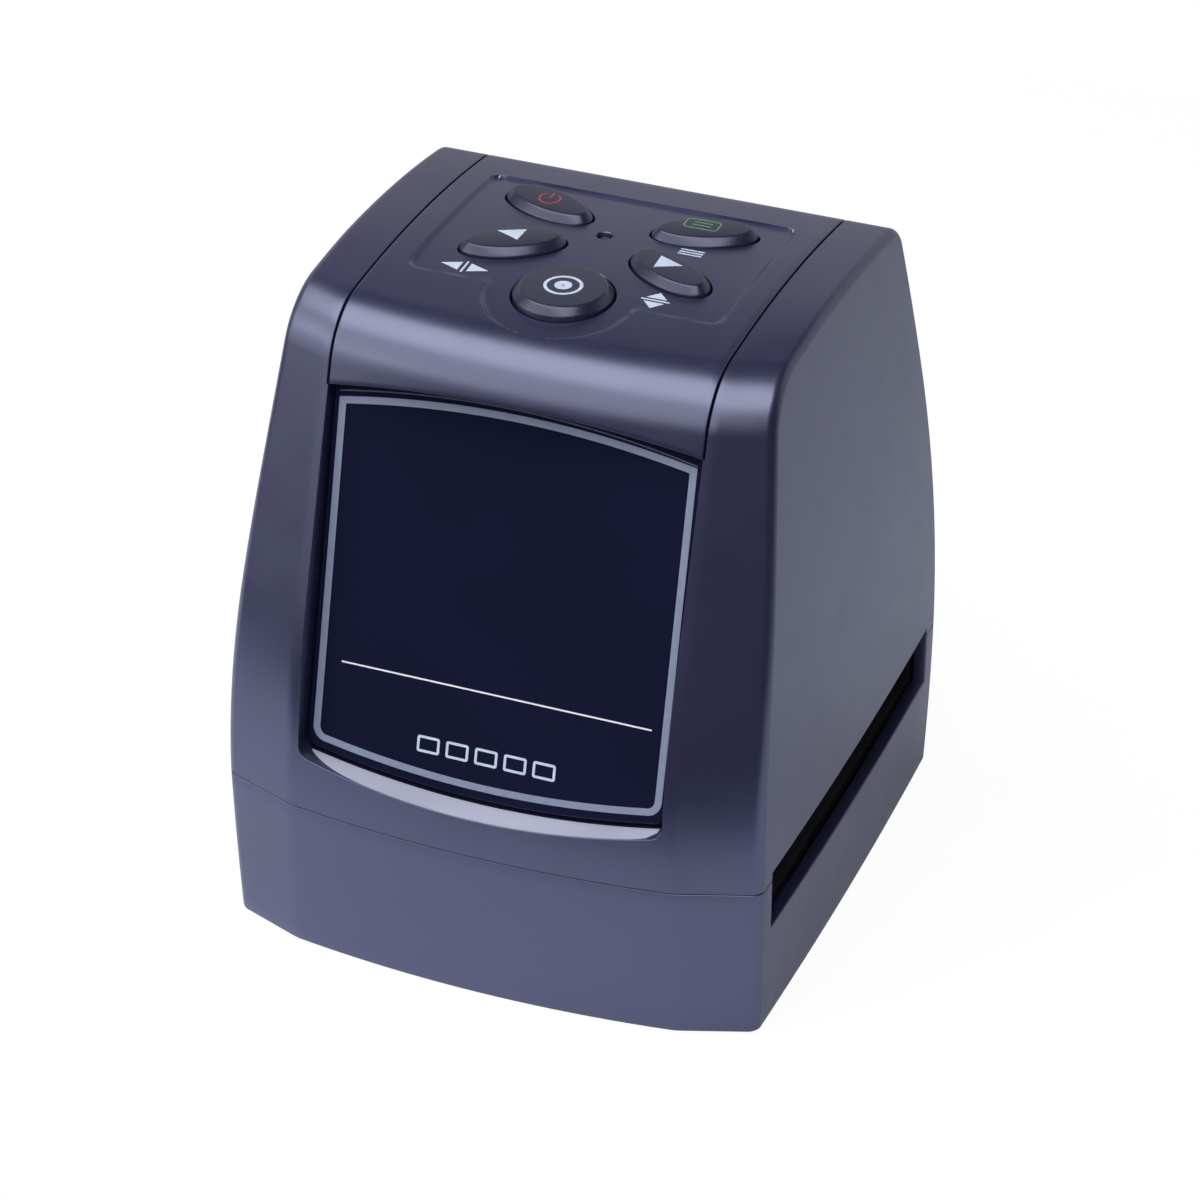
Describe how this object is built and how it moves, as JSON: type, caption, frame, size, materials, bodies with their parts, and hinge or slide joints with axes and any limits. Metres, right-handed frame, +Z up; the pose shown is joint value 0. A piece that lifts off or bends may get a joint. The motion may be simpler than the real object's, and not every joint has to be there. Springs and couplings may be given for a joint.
{
  "type": "film negative scanner",
  "caption": "Desktop film negative scanner with a leaning display window, press buttons on its top and a slot through both sides for a film holder.",
  "frame": {"origin": "middle of the footprint, on the surface that the rubber feet stand on", "axes": "+Z up; the display faces -Y; +X is to the right of someone who looks at the display; the film holder slides along X"},
  "size_m": [0.087, 0.088, 0.104],
  "materials": {
    "black_plastic": "satin black moulded ABS with a faint violet cast and a very fine texture",
    "gloss_black": "polished navy-black display window, printed on the back",
    "button_black": "smooth semi-gloss black keys",
    "inner_black": "dull black inner mouldings",
    "rubber": "dull black rubber feet",
    "steel": "plain bright steel of screws, socket shells, spring and display bracket",
    "board_green": "green lacquered circuit board",
    "chip_black": "black moulded chips, switches and socket bodies",
    "white_plastic": "white moulded plastic",
    "opal": "milky diffusing plastic",
    "display_grey": "dark glass of the unlit display",
    "lens_glass": "coated lens",
    "ribbon_amber": "amber ribbon cable",
    "tape": "black foam tape"
  },
  "bodies": {
    "housing": {"backlight_led": "opal", "card_socket": "steel", "detent_cap": "inner_black", "detent_spring": "steel", "display_bracket": "steel", "display_panel": "display_grey", "display_ribbon": "ribbon_amber", "display_window": "gloss_black", "film_guide_lower": "inner_black", "film_guide_upper": "inner_black", "housing_screw_1": "steel", "housing_screw_2": "steel", "housing_screw_3": "steel", "housing_screw_4": "steel", "image_sensor": "chip_black", "indicator_led": "opal", "key_board": "board_green", "key_board_screw_1": "steel", "key_board_screw_2": "steel", "key_ribbon": "ribbon_amber", "left_switch": "chip_black", "lens_barrel": "inner_black", "lens_glass": "lens_glass", "lens_holder": "inner_black", "light_board": "board_green", "light_box": "white_plastic", "light_cable": "white_plastic", "light_diffuser": "opal", "light_pipe": "opal", "lower_housing": "black_plastic", "main_board": "board_green", "menu_switch": "chip_black", "optics_tower": "inner_black", "power_switch": "chip_black", "processor_chip": "chip_black", "rear_cover": "black_plastic", "right_switch": "chip_black", "rubber_foot_1": "rubber", "rubber_foot_2": "rubber", "rubber_foot_3": "rubber", "rubber_foot_4": "rubber", "scan_switch": "chip_black", "sensor_board": "board_green", "sensor_ribbon": "ribbon_amber", "top_panel": "black_plastic", "upper_housing": "black_plastic", "usb_socket": "steel", "video_socket": "chip_black", "window_tape": "tape"},
    "scan_key": {"scan_button": "button_black", "scan_switch_plunger": "white_plastic"},
    "power_key": {"power_button": "button_black", "power_switch_plunger": "white_plastic"},
    "menu_key": {"menu_button": "button_black", "menu_switch_plunger": "white_plastic"},
    "left_key": {"left_button": "button_black", "left_switch_plunger": "white_plastic"},
    "right_key": {"right_button": "button_black", "right_switch_plunger": "white_plastic"},
    "detent": {"detent_plunger": "white_plastic"}
  },
  "joints": [
    {"name": "scan_press", "type": "slide", "parent": "housing", "child": "scan_key", "axis": [0, 0, -1], "range_m": [0, 0.0005], "stiffness_N_per_m": 2000, "springref_m": -0.0003},
    {"name": "power_press", "type": "slide", "parent": "housing", "child": "power_key", "axis": [0, 0, -1], "range_m": [0, 0.0005], "stiffness_N_per_m": 2000, "springref_m": -0.0003},
    {"name": "menu_press", "type": "slide", "parent": "housing", "child": "menu_key", "axis": [0, 0, -1], "range_m": [0, 0.0005], "stiffness_N_per_m": 2000, "springref_m": -0.0003},
    {"name": "left_press", "type": "slide", "parent": "housing", "child": "left_key", "axis": [0, 0, -1], "range_m": [0, 0.0005], "stiffness_N_per_m": 2000, "springref_m": -0.0003},
    {"name": "right_press", "type": "slide", "parent": "housing", "child": "right_key", "axis": [0, 0, -1], "range_m": [0, 0.0005], "stiffness_N_per_m": 2000, "springref_m": -0.0003},
    {"name": "detent_lift", "type": "slide", "parent": "housing", "child": "detent", "axis": [0, 0, 1], "range_m": [0, 0.0009], "stiffness_N_per_m": 300, "springref_m": -0.001, "deforming": ["detent_spring"]}
  ]
}
